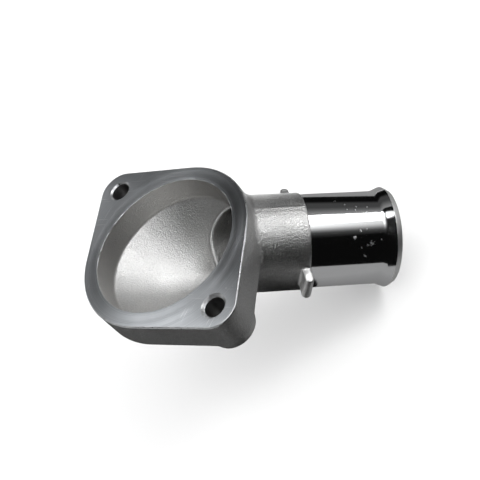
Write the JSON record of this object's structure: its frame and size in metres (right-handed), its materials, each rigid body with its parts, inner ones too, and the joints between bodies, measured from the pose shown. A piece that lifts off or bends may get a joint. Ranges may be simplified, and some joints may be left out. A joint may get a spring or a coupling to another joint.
{
  "type": "thermostat housing",
  "caption": "Cast engine coolant outlet: a bolted flange with an open mouth, a conical bowl, and a slanted neck that ends in a beaded hose spigot.",
  "frame": {"origin": "centre of the mouth on the machined flange face, midway between the bolt holes", "axes": "+Z out of the mouth, square to the flange face; +X towards the side where the neck leaves, so the neck runs towards +X and down"},
  "size_m": [0.1075, 0.0874, 0.0614],
  "materials": {
    "cast_aluminium": "blasted casting, milled on the flange face, turned bright on the spigot"
  },
  "bodies": {
    "root": {"housing": "cast_aluminium"}
  },
  "joints": []
}
